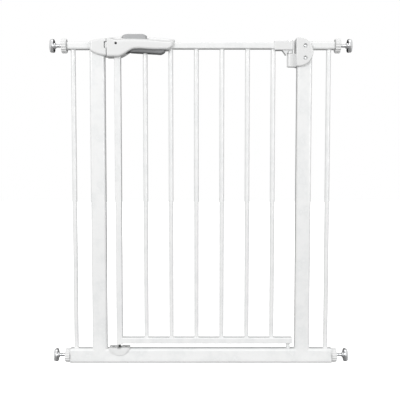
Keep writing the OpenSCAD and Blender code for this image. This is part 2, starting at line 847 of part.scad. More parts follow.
module spindle_pad(name) {
    color("#8d9093") at_tube_end(name) translate([0, 0, pad_x]) cylinder(d = foot_d - 1, h = pad_t);
}

base_rail();
left_upright();
right_upright();
left_top_tube();
right_top_tube();
left_side_bar();
right_side_bar();
tube_plugs();
keeper_front();
keeper_rear();
frame_screws();
hinge_cover_front();
hinge_cover_rear();
hinge_screws();
upper_hinge_bush();
closing_spring();
lower_hinge_pin();
lower_keeper();
door_top_rail();
door_bottom_rail();
door_stile();
hinge_fitting();
upper_hinge_pin();
lower_hinge_bush();
bottom_rail_cap();
stile_foot();
handle_front();
handle_rear();
handle_screws();
indicator_dot();
release_spring();
tongue_spring();
lock_slider();
latch_tongue();
squeeze_bar();
pull_rod();
rod_pin();
for (i = [1 : bar_count]) door_bar(i);
for (name = spindle_names) spindle_rod(name);
for (name = spindle_names) spindle_wheel(name);
for (name = spindle_names) spindle_foot(name);
for (name = spindle_names) spindle_pad(name);
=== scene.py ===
# Pressure-fit safety gate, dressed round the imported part.
# X runs across the doorway, Y to the back, Z up. Shapes are worked out in millimetres and stored in metres.
import json
import math
import bpy
import numpy as np
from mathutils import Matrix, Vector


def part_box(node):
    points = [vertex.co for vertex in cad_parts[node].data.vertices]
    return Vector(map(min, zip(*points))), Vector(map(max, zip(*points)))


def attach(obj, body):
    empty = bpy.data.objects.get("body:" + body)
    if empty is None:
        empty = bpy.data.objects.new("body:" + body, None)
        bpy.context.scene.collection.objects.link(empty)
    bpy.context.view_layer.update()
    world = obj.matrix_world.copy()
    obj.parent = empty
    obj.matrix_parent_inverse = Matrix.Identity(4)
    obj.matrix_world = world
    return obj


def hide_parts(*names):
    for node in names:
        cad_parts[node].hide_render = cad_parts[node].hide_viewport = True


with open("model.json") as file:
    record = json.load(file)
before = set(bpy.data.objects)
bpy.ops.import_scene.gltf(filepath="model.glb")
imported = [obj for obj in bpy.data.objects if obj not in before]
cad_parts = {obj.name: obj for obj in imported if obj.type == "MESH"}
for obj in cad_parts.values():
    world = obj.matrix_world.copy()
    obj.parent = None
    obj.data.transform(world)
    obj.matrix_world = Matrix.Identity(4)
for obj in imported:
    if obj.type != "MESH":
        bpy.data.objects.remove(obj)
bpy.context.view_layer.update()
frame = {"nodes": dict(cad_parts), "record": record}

mm = 0.001
halfTurn = math.pi
print("frame loaded:", len(frame["nodes"]), "nodes")


# node helpers: each adds one node, wires what goes into it and gives back what comes out
def noiseNode(tree, vector, scale, detail=3.0):
    noise = tree.nodes.new("ShaderNodeTexNoise")
    noise.inputs["Scale"].default_value = scale
    noise.inputs["Detail"].default_value = detail
    tree.links.new(vector, noise.inputs["Vector"])
    return noise.outputs["Fac"]


def spreadNode(tree, value, fromLow, fromHigh, toLow, toHigh):
    spread = tree.nodes.new("ShaderNodeMapRange")
    limits = {"From Min": fromLow, "From Max": fromHigh, "To Min": toLow, "To Max": toHigh}
    for socket, number in limits.items():
        spread.inputs[socket].default_value = number
    tree.links.new(value, spread.inputs["Value"])
    return spread.outputs["Result"]


def mixNode(tree, factor, first, second):
    mix = tree.nodes.new("ShaderNodeMix")
    mix.data_type = "RGBA"
    tree.links.new(factor, mix.inputs["Factor"])
    for socket, colour in ((mix.inputs[6], first), (mix.inputs[7], second)):
        if isinstance(colour, tuple):
            socket.default_value = (*colour, 1)
        else:
            tree.links.new(colour, socket)
    return mix.outputs[2]


def bumpNode(tree, height, strength, distance, below=None):
    bump = tree.nodes.new("ShaderNodeBump")
    bump.inputs["Strength"].default_value = strength
    bump.inputs["Distance"].default_value = distance
    tree.links.new(height, bump.inputs["Height"])
    if below is not None:
        tree.links.new(below, bump.inputs["Normal"])
    return bump.outputs["Normal"]


# tone and shade: the two colours a slow noise mixes; worn: the colour of rubbed edges
# peel: (noise scale per metre, height in metres) of the slow surface; grain: the same for the fine one
# dust: how strong the film of dust is, a quarter of its share at most
finishes = {
    "white_enamel": dict(
        tone=(.875, .878, .875), shade=(.865, .868, .866), worn=(.80, .81, .81), rough=.22, roughSpread=.07,
        metal=0, coat=.35, peel=(420, .00003), grain=(2600, .00001), dust=.006),
    "white_plastic": dict(
        tone=(.775, .778, .776), shade=(.765, .768, .766), worn=(.79, .80, .80), rough=.33, roughSpread=.08,
        metal=0, coat=.15, peel=(160, .00004), grain=(3800, .000018), dust=.006),
    "grey_plastic": dict(
        tone=(.40, .405, .41), shade=(.37, .375, .38), worn=(.60, .60, .61), rough=.46, roughSpread=.10,
        metal=0, coat=0, peel=(300, .00004), grain=(4200, .00003), dust=.006),
    "dark_grip": dict(
        tone=(.27, .273, .278), shade=(.14, .143, .147), worn=(.25, .253, .257), rough=.48, roughSpread=.12,
        metal=0, coat=0, peel=(260, .00004), grain=(3400, .00004), dust=.006),
    "black_plastic": dict(
        tone=(.012, .012, .013), shade=(.008, .008, .009), worn=(.04, .04, .04), rough=.35, roughSpread=.08,
        metal=0, coat=0, peel=(260, .00002), grain=(3000, .00002), dust=0),
    "bush_plastic": dict(
        tone=(.70, .69, .64), shade=(.66, .65, .60), worn=(.6, .59, .55), rough=.42, roughSpread=.1,
        metal=0, coat=0, peel=(220, .00003), grain=(3000, .00002), dust=0),
    "zinc_steel": dict(
        tone=(.84, .845, .85), shade=(.76, .77, .78), worn=(.88, .88, .89), rough=.16, roughSpread=.14,
        metal=1, coat=0, peel=(180, .00002), grain=(2400, .00001), dust=.006),
    "black_steel": dict(
        tone=(.030, .030, .032), shade=(.020, .020, .022), worn=(.20, .20, .20), rough=.34, roughSpread=.12,
        metal=1, coat=0, peel=(200, .00002), grain=(2600, .00001), dust=.006),
    "plated_steel": dict(
        tone=(.80, .805, .81), shade=(.72, .73, .74), worn=(.86, .86, .87), rough=.10, roughSpread=.05,
        metal=1, coat=0, peel=(150, .00002), grain=(1900, .000008), dust=.006),
    "spring_steel": dict(
        tone=(.52, .53, .54), shade=(.40, .41, .42), worn=(.66, .66, .67), rough=.34, roughSpread=.1,
        metal=1, coat=0, peel=(260, .00002), grain=(2600, .00001), dust=0),
    "pad_rubber": dict(
        tone=(.60, .605, .61), shade=(.53, .535, .54), worn=(.68, .68, .68), rough=.72, roughSpread=.12,
        metal=0, coat=0, peel=(240, .00006), grain=(3000, .00005), dust=.015),
}


def makeFinish(name, look):
    # Colour: slow noise between tone and shade, a darker film of dust in patches, and rubbed edges.
    # Roughness: a noise round its mean. Bump: slow swell plus fine grain.
    material = bpy.data.materials.new(name)
    material.use_nodes = True
    tree = material.node_tree
    shader = tree.nodes["Principled BSDF"]
    shader.inputs["Metallic"].default_value = look["metal"]
    shader.inputs["Coat Weight"].default_value = look["coat"]
    shader.inputs["Coat Roughness"].default_value = .12
    place = tree.nodes.new("ShaderNodeTexCoord").outputs["Object"]
    slow = noiseNode(tree, place, 9, 4)
    patches = noiseNode(tree, place, 38, 6)
    peel = noiseNode(tree, place, look["peel"][0], 2)
    grain = noiseNode(tree, place, look["grain"][0], 2)
    colour = mixNode(tree, spreadNode(tree, slow, .35, .65, 0, 1), look["tone"], look["shade"])
    edges = spreadNode(tree, tree.nodes.new("ShaderNodeNewGeometry").outputs["Pointiness"], .515, .57, 0, 1)
    rubbed = tree.nodes.new("ShaderNodeMath")
    rubbed.operation = "MULTIPLY"
    tree.links.new(edges, rubbed.inputs[0])
    tree.links.new(spreadNode(tree, patches, .45, .62, .15, .8), rubbed.inputs[1])
    colour = mixNode(tree, rubbed.outputs[0], colour, look["worn"])
    film = spreadNode(tree, patches, .42, .85, 0, look["dust"] * 4)
    grey = tuple(c * .8 for c in look["tone"])
    colour = mixNode(tree, film, colour, grey)
    tree.links.new(colour, shader.inputs["Base Color"])
    rough = spreadNode(tree, patches, .3, .7, look["rough"] - look["roughSpread"] / 2,
                       look["rough"] + look["roughSpread"])
    tree.links.new(rough, shader.inputs["Roughness"])
    swell = bumpNode(tree, peel, .5, look["peel"][1])
    tree.links.new(bumpNode(tree, grain, .5, look["grain"][1], swell), shader.inputs["Normal"])
    return material


materials = {name: makeFinish(name, look) for name, look in finishes.items()}
for row in frame["record"]["subparts"]:
    cadNode = frame["nodes"][row["node"]]
    cadNode.data.materials.clear()
    cadNode.data.materials.append(materials[row["material_slot"]])
print("finishes on the carried nodes")


def boxOf(node):
    # lowest and highest corner of a CAD node, in millimetres: x, y, z, x, y, z
    low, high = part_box(node)
    return [c / mm for c in low] + [c / mm for c in high]


def middleOf(box, axis):
    # halfway between a box's two sides along an axis
    return (box[axis] + box[axis + 3]) / 2


def gridFaces(rows, columns, wrap=True):
    # quads between neighbouring rows and columns; wrap joins the last column to the first
    i = np.arange(rows - 1)[:, None] * columns
    j = np.arange(columns if wrap else columns - 1)[None, :]
    k = (j + 1) % columns
    return np.stack([i + j, i + k, i + columns + k, i + columns + j], -1).reshape(-1, 4)


def closedSkin(rings):
    # rings (rows, columns, 3) joined one to the next, each end closed by a fan to the middle of its ring
    rows, columns = rings.shape[:2]
    points = np.concatenate([rings.reshape(-1, 3), rings[:1].mean(1), rings[-1:].mean(1)])
    j = np.arange(columns)
    k = (j + 1) % columns
    last = (rows - 1) * columns
    firstMiddle = j * 0 + rows * columns
    fans = [np.stack([firstMiddle, k, j], -1), np.stack([firstMiddle + 1, last + j, last + k], -1)]
    return points, [gridFaces(rows, columns)] + fans


def across(axis, stations, flat):
    # flat (rows, columns, 2) stood across an axis at its stations: X takes (y, z), Y (x, z), Z (x, y)
    along = np.broadcast_to(np.asarray(stations, float)[:, None], flat.shape[:2])
    a, b = flat[..., 0], flat[..., 1]
    return np.stack([(along, a, b), (a, along, b), (a, b, along)][axis], -1)


def roundRects(aLow, aHigh, bLow, bHigh, radii, steps=6):
    # One rounded rectangle a row: four quarter circles, radii (rows, 4) for corners ++, -+, --, +-
    limits = [np.atleast_1d(np.asarray(v, float)) for v in (aLow, aHigh, bLow, bHigh)]
    aLow, aHigh, bLow, bHigh = np.broadcast_arrays(*limits)
    radii = np.broadcast_to(np.asarray(radii, float), (len(aLow), 4))
    turn = np.linspace(0, halfTurn / 2, steps)
    arcs = []
    for corner, (sideA, sideB) in enumerate(((1, 1), (-1, 1), (-1, -1), (1, -1))):
        r = radii[:, corner, None]
        middleA = (aHigh if sideA > 0 else aLow)[:, None] - sideA * r
        middleB = (bHigh if sideB > 0 else bLow)[:, None] - sideB * r
        angle = turn + corner * halfTurn / 2
        arcs.append(np.stack([middleA + r * np.cos(angle), middleB + r * np.sin(angle)], -1))
    return np.concatenate(arcs, 1)


def endRun(low, high, edge, inner=2, steps=5):
    # Stations from low to high, and how far the section draws in where each end rounds over a quarter circle
    angle = np.linspace(0, halfTurn / 2, steps)
    near, drawn = edge * (1 - np.cos(angle)), edge * (1 - np.sin(angle))
    middle = np.linspace(low + edge, high - edge, inner + 2)[1:-1]
    stations = np.concatenate([low + near, middle, (high - near)[::-1]])
    return stations, np.concatenate([drawn, np.zeros(inner), drawn[::-1]])


def softBlock(x0, x1, y0, y1, z0, z1, edge, axis=0, corner=None, inner=2):
    # A box whose edges are all rounded: rounded rectangles that draw in at both ends
    spans = [(x0, x1), (y0, y1), (z0, z1)]
    low, high = spans.pop(axis)
    (a0, a1), (b0, b1) = spans
    corner = edge if corner is None else corner
    stations, drawn = endRun(low, high, edge, inner)
    radii = np.maximum(np.broadcast_to(np.asarray(corner, float), (4,))[None] - drawn[:, None], .04)
    flat = roundRects(a0 + drawn, a1 - drawn, b0 + drawn, b1 - drawn, radii)
    return closedSkin(across(axis, stations, flat))


def softened(corners, radii, steps=5):
    # Corners joined by straight lines, each inner corner rounded by a quadratic curve of its own radius
    corners = np.asarray(corners, float)
    t = np.linspace(0, 1, steps)[:, None]
    runs = [corners[:1]]
    for before, here, after, r in zip(corners[:-2], corners[1:-1], corners[2:], radii):
        a = here + (before - here) * min(r / np.linalg.norm(before - here), .49)
        b = here + (after - here) * min(r / np.linalg.norm(after - here), .49)
        runs.append((1 - t) ** 2 * a + 2 * t * (1 - t) * here + t ** 2 * b)
    return np.concatenate(runs + [corners[-1:]])


def turned(axis, middle, profile, count=48, ripple=0):
    # A profile of (place along the axis, radius) carried round it; ripple (rows, count) adds to the radius
    angle = np.linspace(0, 2 * halfTurn, count, endpoint=False)
    radius = np.asarray(profile, float)[:, 1, None] + ripple
    flat = np.stack(np.broadcast_arrays(radius * np.cos(angle), radius * np.sin(angle)), -1)
    return closedSkin(across(axis, np.asarray(profile, float)[:, 0], flat) + np.asarray(middle, float))


def outward(points, faces):
    # Each array of faces is turned over if, all together, it looks at the middle of the part
    middle = points.mean(0)
    turnedOut = []
    for f in faces:
        normals = np.cross(points[f[:, 2]] - points[f[:, 0]], points[f[:, -1]] - points[f[:, 1]])
        score = np.einsum("ij,ij->", normals, points[f].mean(1) - middle)
        turnedOut.append(f if score > 0 else f[:, ::-1])
    return turnedOut


def plate(axis, outline, low, high, edge, inner=0, steps=5):
    # An outline carried along an axis; at both ends it draws in towards its middle over a quarter circle
    outline = np.asarray(outline, float)
    middle = outline.mean(0)
    reach = np.linalg.norm(outline - middle, axis=1)[None, :, None]
    stations, drawn = endRun(low, high, edge, inner, steps)
    share = 1 - drawn[:, None, None] / reach
    return closedSkin(across(axis, stations, middle + (outline - middle) * share))


def rounded(corners, radii, steps=6):
    # A closed outline of straight lines with a quadratic curve of its own radius at every corner
    corners = np.asarray(corners, float)
    line = np.concatenate([corners[-1:], corners, corners[:1]])
    return softened(line, radii, steps)[1:-1]


def arc(middle, radius, fromAngle, toAngle, steps):
    # points on part of a circle, angles in degrees
    angle = np.radians(np.linspace(fromAngle, toAngle, steps))
    return np.stack([middle[0] + radius * np.cos(angle), middle[1] + radius * np.sin(angle)], -1)


def meshOf(name, parts):
    # One mesh of several closed parts, each a pair of points and lists of faces
    points, faces, start = [], [], 0
    for partPoints, partFaces in parts:
        points.append(partPoints)
        faces += [f + start for f in outward(partPoints, partFaces)]
        start += len(partPoints)
    points = np.concatenate(points) * mm
    sizes = np.concatenate([np.full(len(f), f.shape[1]) for f in faces])
    corners = np.concatenate([f.ravel() for f in faces])
    mesh = bpy.data.meshes.new(name)
    mesh.vertices.add(len(points))
    mesh.vertices.foreach_set("co", points.astype(np.float32).ravel())
    mesh.loops.add(len(corners))
    mesh.loops.foreach_set("vertex_index", corners.astype(np.int32))
    mesh.polygons.add(len(sizes))
    mesh.polygons.foreach_set("loop_start", np.concatenate([[0], np.cumsum(sizes)[:-1]]).astype(np.int32))
    mesh.update(calc_edges=True)
    mesh.validate()
    return mesh


def carve(piece, cutters):
    # Each closed cutter is taken away from the piece, and what is left becomes the piece's mesh
    tools = [bpy.data.objects.new("cutter", meshOf("cutter", [cutter])) for cutter in cutters]
    for tool in tools:
        bpy.context.scene.collection.objects.link(tool)
        cut = piece.modifiers.new("cut", "BOOLEAN")
        cut.object, cut.operation, cut.solver = tool, "DIFFERENCE", "EXACT"
    seen = piece.evaluated_get(bpy.context.evaluated_depsgraph_get())
    piece.data = bpy.data.meshes.new_from_object(seen)
    piece.modifiers.clear()
    for tool in tools:
        bpy.data.objects.remove(tool)


def makePiece(name, parts, body, slotName, stands=(), cutters=(), crease=38):
    # A piece with its finish, riding on its body; stands are the CAD nodes it takes the place of
    piece = bpy.data.objects.new(name, meshOf(name, parts))
    bpy.context.scene.collection.objects.link(piece)
    if cutters:
        carve(piece, cutters)
    piece.data.shade_smooth()
    piece.data.set_sharp_from_angle(angle=math.radians(crease))
    piece.data.materials.clear()
    piece.data.materials.append(materials[slotName])
    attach(piece, body)
    if stands:
        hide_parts(*stands)
    return piece


cameraSet = dict(place=(-.0021, -1.55, .4863), pitch=-3.524, lens=58.86, sensor=36)
stageSet = dict(floorHalf=6, floorLow=-.0005, floorColour=(.93, .93, .93), floorGlow=.95,
                floorBounce=(.34, .34, .34), cardY=1.35, cardHalf=1.5, cardLow=-.5, cardHigh=2.6,
                cardColour=(.03, .03, .03), air=.62)
lamps = {  # place, size across and up, watts, aimed at
    "keyLamp": ((-2.4, -3.4, 2.1), 2.0, 1.6, 90, (0, 0, .36)),
    "fillLamp": ((3.0, -3.5, 1.0), 2.2, 2.0, 58, (0, 0, .34)),
    "topLamp": ((.1, .2, 2.6), 1.8, 1.2, 6, (0, 0, .3)),
    "footLamp": ((0, -.05, .001), .66, .02, .03, (0, -.02, .1)),
}


def flatSheet(name, corners, colour, glow=0, unseen=None):
    # unseen is the colour that the sheet has for all but a direct look: its reflection and the light off it
    mesh = bpy.data.meshes.new(name)
    mesh.from_pydata(corners, [], [(0, 1, 2, 3)])
    sheetObject = bpy.data.objects.new(name, mesh)
    bpy.context.scene.collection.objects.link(sheetObject)
    material = bpy.data.materials.new(name)
    material.use_nodes = True
    shader = material.node_tree.nodes["Principled BSDF"]
    shader.inputs["Base Color"].default_value = (*colour, 1)
    if unseen is not None:
        tree = material.node_tree
        direct = tree.nodes.new("ShaderNodeLightPath").outputs["Is Camera Ray"]
        tree.links.new(mixNode(tree, direct, unseen, colour), shader.inputs["Base Color"])
        tree.links.new(spreadNode(tree, direct, 0, 1, 0, glow), shader.inputs["Emission Strength"])
    shader.inputs["Roughness"].default_value = .8
    shader.inputs["Specular IOR Level"].default_value = .1
    shader.inputs["Emission Color"].default_value = (1, 1, 1, 1)
    if unseen is None:
        shader.inputs["Emission Strength"].default_value = glow
    mesh.materials.append(material)
    return sheetObject


half = stageSet["floorHalf"]
floor = flatSheet("floor", [(-half, -half, 0), (half, -half, 0), (half, half, 0), (-half, half, 0)],
                  stageSet["floorColour"], stageSet["floorGlow"], stageSet["floorBounce"])
floor.location.z = stageSet["floorLow"]
cardY, cardHalf, cardLow, cardHigh = (stageSet[key] for key in ("cardY", "cardHalf", "cardLow", "cardHigh"))
cardCorners = [(-cardHalf, cardY, cardLow), (cardHalf, cardY, cardLow), (cardHalf, cardY, cardHigh),
               (-cardHalf, cardY, cardHigh)]
card = flatSheet("darkCard", cardCorners, stageSet["cardColour"])
# the card stands behind and shows only in reflections, where it draws the thin dark lines along inner edges
card.visible_camera = card.visible_diffuse = card.visible_shadow = card.visible_transmission = False

world = bpy.data.worlds.new("studioAir")
bpy.context.scene.world = world
world.use_nodes = True
air = world.node_tree.nodes["Background"]
air.inputs["Color"].default_value = (1, 1, 1, 1)
# white to look at and in reflections, whatever light it gives
path = world.node_tree.nodes.new("ShaderNodeLightPath")
brightness = spreadNode(world.node_tree, path.outputs["Is Diffuse Ray"], 0, 1, 1, stageSet["air"])
world.node_tree.links.new(brightness, air.inputs["Strength"])

for lampName, (place, wide, high, watts, aim) in lamps.items():
    lamp = bpy.data.lights.new(lampName, "AREA")
    lamp.shape = "RECTANGLE"
    lamp.size, lamp.size_y, lamp.energy = wide, high, watts
    lampObject = bpy.data.objects.new(lampName, lamp)
    lampObject.location = place
    lampObject.visible_camera = False
    direction = (np.array(aim) - np.array(place)).tolist()
    lampObject.rotation_euler = Vector(direction).to_track_quat("-Z", "Y").to_euler()
    bpy.context.scene.collection.objects.link(lampObject)

camera = bpy.data.objects.new("camera", bpy.data.cameras.new("camera"))
camera.data.lens, camera.data.sensor_width = cameraSet["lens"], cameraSet["sensor"]
camera.location = cameraSet["place"]
camera.rotation_euler = (math.radians(90 + cameraSet["pitch"]), 0, 0)
bpy.context.scene.collection.objects.link(camera)
bpy.context.scene.camera = camera
bpy.context.scene.view_settings.view_transform = "Standard"
print("stage, light and camera")

# section: the outline that the handle and the keeper share, seen along the rail
section = dict(half=20, seam=.12, sillEnd=13.6, sillRise=5, roofStart=16, roofDeep=15.5, roofFall=14,
               ridge=1.4, shoulder=4.5)
handle = dict(crownX=-171.8, leftRun=46.5, leftDrop=4, rightRun=111, rightDrop=7, grip=741.5,
              bulgeStart=-194.3, bulgeRun=40.3, archX=-143, archWide=20, arch=1.9, noseLength=21, nosePlan=13,
              tipRound=2.5, roofFrom=-216, roofFull=-194, rearRoof=.3, mouth=(-175, -82.5), mouthTop=744.4,
              recessFloor=766.4, recessHalf=33.25, recessWide=9.1, lipRun=1.1, lipDrop=.8, lipNarrow=.035,
              screws=((-212, 735), (-178, 762.4), (-75, 760.8)), screwHead=2.75, screwPocket=3.15,
              screwFace=18.3, screwStart=4, screwShank=1.45, sliderTravel=5.5)
barPocket = dict(gap=.6, floor=736.1, above=7.6, corner=.4)


def step(value):
    # 0 below 0, 1 above 1, smooth between
    value = np.clip(value, 0, 1)
    return value * value * (3 - 2 * value)


def roofDrop(y):
    # how far the roof lies under its ridge: deep * (1 - exp(-r / fall)), with r rounded off near the ridge
    r = np.sqrt(y ** 2 + section["ridge"] ** 2) - section["ridge"]
    return section["roofDeep"] * (1 - np.exp(-r / section["roofFall"]))


def housingHalf(low, high, roof, plan, side, mouthTop=None):
    # Half a housing's section at each station, from the seam underneath to the seam on top: a flat sill, a
    # round corner, an upright face, a round shoulder, and the roof; roof and plan scale its drop and width
    columns = np.broadcast_arrays(low, high, roof, plan)
    low, high, roof, plan = (np.asarray(column, float)[:, None] for column in columns)
    half, start = section["half"], section["roofStart"]
    scale = np.minimum(1, (high - low) / (half + 8))
    t = np.linspace(0, 1, 8)
    sillY = (1 - t) ** 2 * section["sillEnd"] + (1 - (1 - t) ** 2) * half
    sillZ = low + t ** 2 * section["sillRise"] * scale
    startDrop = roofDrop(start) * roof
    hipDrop = startDrop + (roofDrop(start) - roofDrop(start - 1)) * (half - start) * roof
    shoulderY = half - t ** 2 * (half - start)
    shoulderDrop = (1 - t) ** 2 * (hipDrop + section["shoulder"]) + 2 * t * (1 - t) * hipDrop
    shoulderZ = high - scale * (shoulderDrop + t ** 2 * startDrop)
    face = np.linspace(0, 1, 30)[1:-1]
    faceZ = sillZ[:, -1:] + face * (shoulderZ[:, :1] - sillZ[:, -1:])
    roofY = np.linspace(start, section["seam"], 34)[1:]
    roofZ = high - scale * roof * roofDrop(roofY)
    inner = low if mouthTop is None else np.asarray(mouthTop, float)[:, None]
    y = np.concatenate([[section["seam"], section["sillEnd"]], sillY, face * 0 + half, shoulderY, roofY])
    z = np.concatenate([inner, inner, sillZ, faceZ, shoulderZ, roofZ], 1)
    y = np.maximum(np.broadcast_to(y, z.shape) * plan, section["seam"])
    return np.stack([side * y, z], -1)


handleBox, sliderBox, barBox = boxOf("handle_front"), boxOf("lock_slider"), boxOf("squeeze_bar")
noseAt = handleBox[3] - handle["noseLength"]


def handleHigh(x):
    # the ridge falls away as a square on both sides of its crown, and its far end is a quarter circle
    left = handle["leftDrop"] * (np.minimum(x - handle["crownX"], 0) / handle["leftRun"]) ** 2
    right = handle["rightDrop"] * (np.maximum(x - handle["crownX"], 0) / handle["rightRun"]) ** 2
    tip = np.clip((x - handleBox[3]) / handle["tipRound"] + 1, 0, 1)
    return handleBox[5] - left - right - handle["tipRound"] * (1 - np.sqrt(1 - tip ** 2))


def handleLow(x):
    # a bulge round the stile eases into the arched grip by half a cosine; the nose is a quarter of an ellipse
    share = (1 + np.cos(halfTurn * np.clip((x - handle["bulgeStart"]) / handle["bulgeRun"], 0, 1))) / 2
    grip = handle["grip"] + handle["arch"] * np.exp(-((x - handle["archX"]) / handle["archWide"]) ** 2)
    nose = np.clip((x - noseAt) / handle["noseLength"], 0, 1)
    tip = handleHigh(handleBox[3] - handle["tipRound"]) - handle["tipRound"]
    noseLow = tip - (tip - grip) * np.sqrt(1 - nose ** 2)
    return np.where(nose > 0, noseLow, grip - (grip - handleBox[2]) * share)


mouthLeft, mouthRight = handle["mouth"]
handleX = np.sort(np.concatenate([
    handleBox[0] + np.array([0, .12, .35, .7, 1.1]), np.linspace(handleBox[0] + 1.6, noseAt, 190),
    noseAt + handle["noseLength"] * np.sin(np.linspace(.05, halfTurn / 2, 40)),
    [mouthLeft - .01, mouthLeft + .01, mouthRight - .01, mouthRight + .01]]))
inMouth = (handleX > mouthLeft) & (handleX < mouthRight)
toTip = np.clip((handleX - handleBox[3]) / handle["nosePlan"] + 1, 0, 1)
lip = 1 - step((handleX - handleBox[0]) / handle["lipRun"])  # the edge that faces the keeper is eased
handleRoof = .3 + .7 * step((handleX - handle["roofFrom"]) / (handle["roofFull"] - handle["roofFrom"]))
# the slider's recess is a stadium in plan, and half the slider's travel longer than it towards the hinge
stadiumMiddle = middleOf(sliderBox, 0) + handle["sliderTravel"] / 2
endMiddle = handle["recessHalf"] - handle["recessWide"]
stadium = np.concatenate([arc((stadiumMiddle + s * endMiddle, 0), handle["recessWide"], a, a + 180, 24)
                          for s, a in ((1, -90), (-1, 90))])
recessCut = plate(2, stadium, handle["recessFloor"], handleBox[5] + 6, .3, 0, 3)
# the pocket that the squeeze bar and the pull rod rise into
barCut = softBlock(barBox[0] - barPocket["gap"], barBox[3] + barPocket["gap"], barBox[1] - barPocket["gap"],
                   barBox[4] + barPocket["gap"], barPocket["floor"], barBox[5] + barPocket["above"],
                   barPocket["corner"])


def handleSolid(side, roof):
    # Half the handle: its section at each station between the underside and the ridge, narrowing to the nose
    low, high = handleLow(handleX), handleHigh(handleX)
    plan = (1 - handle["lipNarrow"] * lip) * np.sqrt(1 - .985 * toTip ** 2)
    flat = housingHalf(low + handle["lipDrop"] * lip, high - handle["lipDrop"] * lip, roof, plan, side,
                       np.where(inMouth, handle["mouthTop"], low))
    return closedSkin(across(0, handleX, flat))


def pocketCut(x, z, y0, y1, radius):
    # A round pocket from y0, its floor, out past y1, the face it is cut into, with its rim eased
    out = np.sign(y1 - y0)
    past = y1 + out * 2
    profile = [(y0, .4), (y0, radius), (y1 - out * .35, radius), (past, radius + 2.35), (past, .4)]
    return turned(1, (x, 0, z), profile, 40)


# tongue: a block with a rounded nose slides out of the handle; two arms pass the stile and a yoke bridges it
# legs: the bars of each arm, as (inner y, outer y, low z, high z)
tongue = dict(block=15, height=13.4, nose=1.6, corner=1.2, yokeLeft=-168, yokeHalf=11.4, yokeLow=760.1,
              yokeTop=762.6,
              legs=((14.6, 16.4, 745.3, 757.4), (9.8, 15.6, 755.4, 757.4), (9.8, 11.4, 755.6, 762.4)))
tongueBox = boxOf("latch_tongue")
blockEnd = tongueBox[0] + tongue["block"]
tongueParts = [softBlock(tongueBox[0], blockEnd, -tongueBox[4], tongueBox[4], tongueBox[2],
                         tongueBox[2] + tongue["height"], tongue["nose"], 0, tongue["corner"]),
               softBlock(tongue["yokeLeft"], tongueBox[3], -tongue["yokeHalf"], tongue["yokeHalf"],
                         tongue["yokeLow"], tongue["yokeTop"], .5)]
for inner, outer, legLow, legHigh in tongue["legs"]:
    legLeft = tongue["yokeLeft"] if legHigh > tongue["yokeLow"] else blockEnd - 2
    for y0, y1 in ((-outer, -inner), (inner, outer)):
        tongueParts.append(softBlock(legLeft, tongueBox[3], y0, y1, legLow, legHigh, .4))
makePiece("tongue_slide", tongueParts, "latch_tongue", "white_plastic", ["latch_tongue"])

dotBox = boxOf("indicator_dot")
dotX, dotZ, dotR = middleOf(dotBox, 0), middleOf(dotBox, 2), (dotBox[3] - dotBox[0]) / 2
screwPockets = [pocketCut(x, z, handle["screwFace"], section["half"], handle["screwPocket"])
                for x, z in handle["screws"]]
makePiece("handle_shell_front", [handleSolid(-1, handleRoof)], "door", "white_plastic", ["handle_front"],
          [recessCut, barCut, pocketCut(dotX, dotZ, dotBox[4], -section["half"], dotR + .15)])
makePiece("handle_shell_rear", [handleSolid(1, handleRoof * handle["rearRoof"])], "door", "white_plastic",
          ["handle_rear"], [recessCut, barCut] + screwPockets)
# lens: a shallow dome, as depth behind its face and share of its radius
dome = ((0, .0179), (.03, .4), (.12, .7), (.3, .93), (.5, 1), (1.5, 1))
lens = [(dotBox[1] + depth, dotR * share) for depth, share in dome]
lensSkin = turned(1, (dotX, 0, dotZ), lens, 40)
makePiece("indicator_lens", [lensSkin], "door", "black_plastic", ["indicator_dot"])
print("handle")

keeper = dict(leftTop=762, rightTop=770, low=727, rise=11.5, slot=(744.5, 759.5), slotDepth=4.6, roofLeft=.05,
              roofRight=.3, rearRoof=.5, endRun=5, endLift=3, endDrop=1.2, endNarrow=.22,
              screws=((-242, 738.5), (-242, 757)), screwFloor=17.5, screwPocket=3.5, screwHead=3.1,
              screwShank=1.7)
keeperBox = boxOf("keeper_front")


def keeperSolids(side, roofShare):
    # The keeper follows the handle's section; its catch is the gap between two lobes past the upright
    run = keeperBox[3] - keeperBox[0]
    x = np.concatenate([keeperBox[0] + np.array([0, .15, .4, .9, 2, 3.6]),
                        np.linspace(keeperBox[0] + keeper["endRun"], keeperBox[3] - keeper["slotDepth"], 50)])
    lobeX = keeperBox[3] - np.array([keeper["slotDepth"], 3.4, 2.2, 1.1, .6, .3, .1, 0])

    def rings(x):
        share = (x - keeperBox[0]) / run
        high = keeper["leftTop"] + (keeper["rightTop"] - keeper["leftTop"]) * share
        low = keeper["low"] + keeper["rise"] * (1 - share) ** 2
        endLeft = 1 - np.sqrt(1 - (1 - np.clip((x - keeperBox[0]) / keeper["endRun"], 0, 1)) ** 2)
        endRight = 1 - step((keeperBox[3] - x) / handle["lipRun"])
        roof = (keeper["roofLeft"] + (keeper["roofRight"] - keeper["roofLeft"]) * share ** 2) * roofShare
        low = low + keeper["endLift"] * endLeft + handle["lipDrop"] * endRight
        high = high - keeper["endDrop"] * endLeft - handle["lipDrop"] * endRight
        plan = 1 - keeper["endNarrow"] * endLeft - handle["lipNarrow"] * endRight
        return across(0, x, housingHalf(low, high, roof, plan, side))

    lower, upper = rings(lobeX), rings(lobeX)
    lower[..., 2] = np.minimum(lower[..., 2], keeper["slot"][0])
    upper[..., 2] = np.maximum(upper[..., 2], keeper["slot"][1])
    return [closedSkin(rings(x))], [closedSkin(lower), closedSkin(upper)]


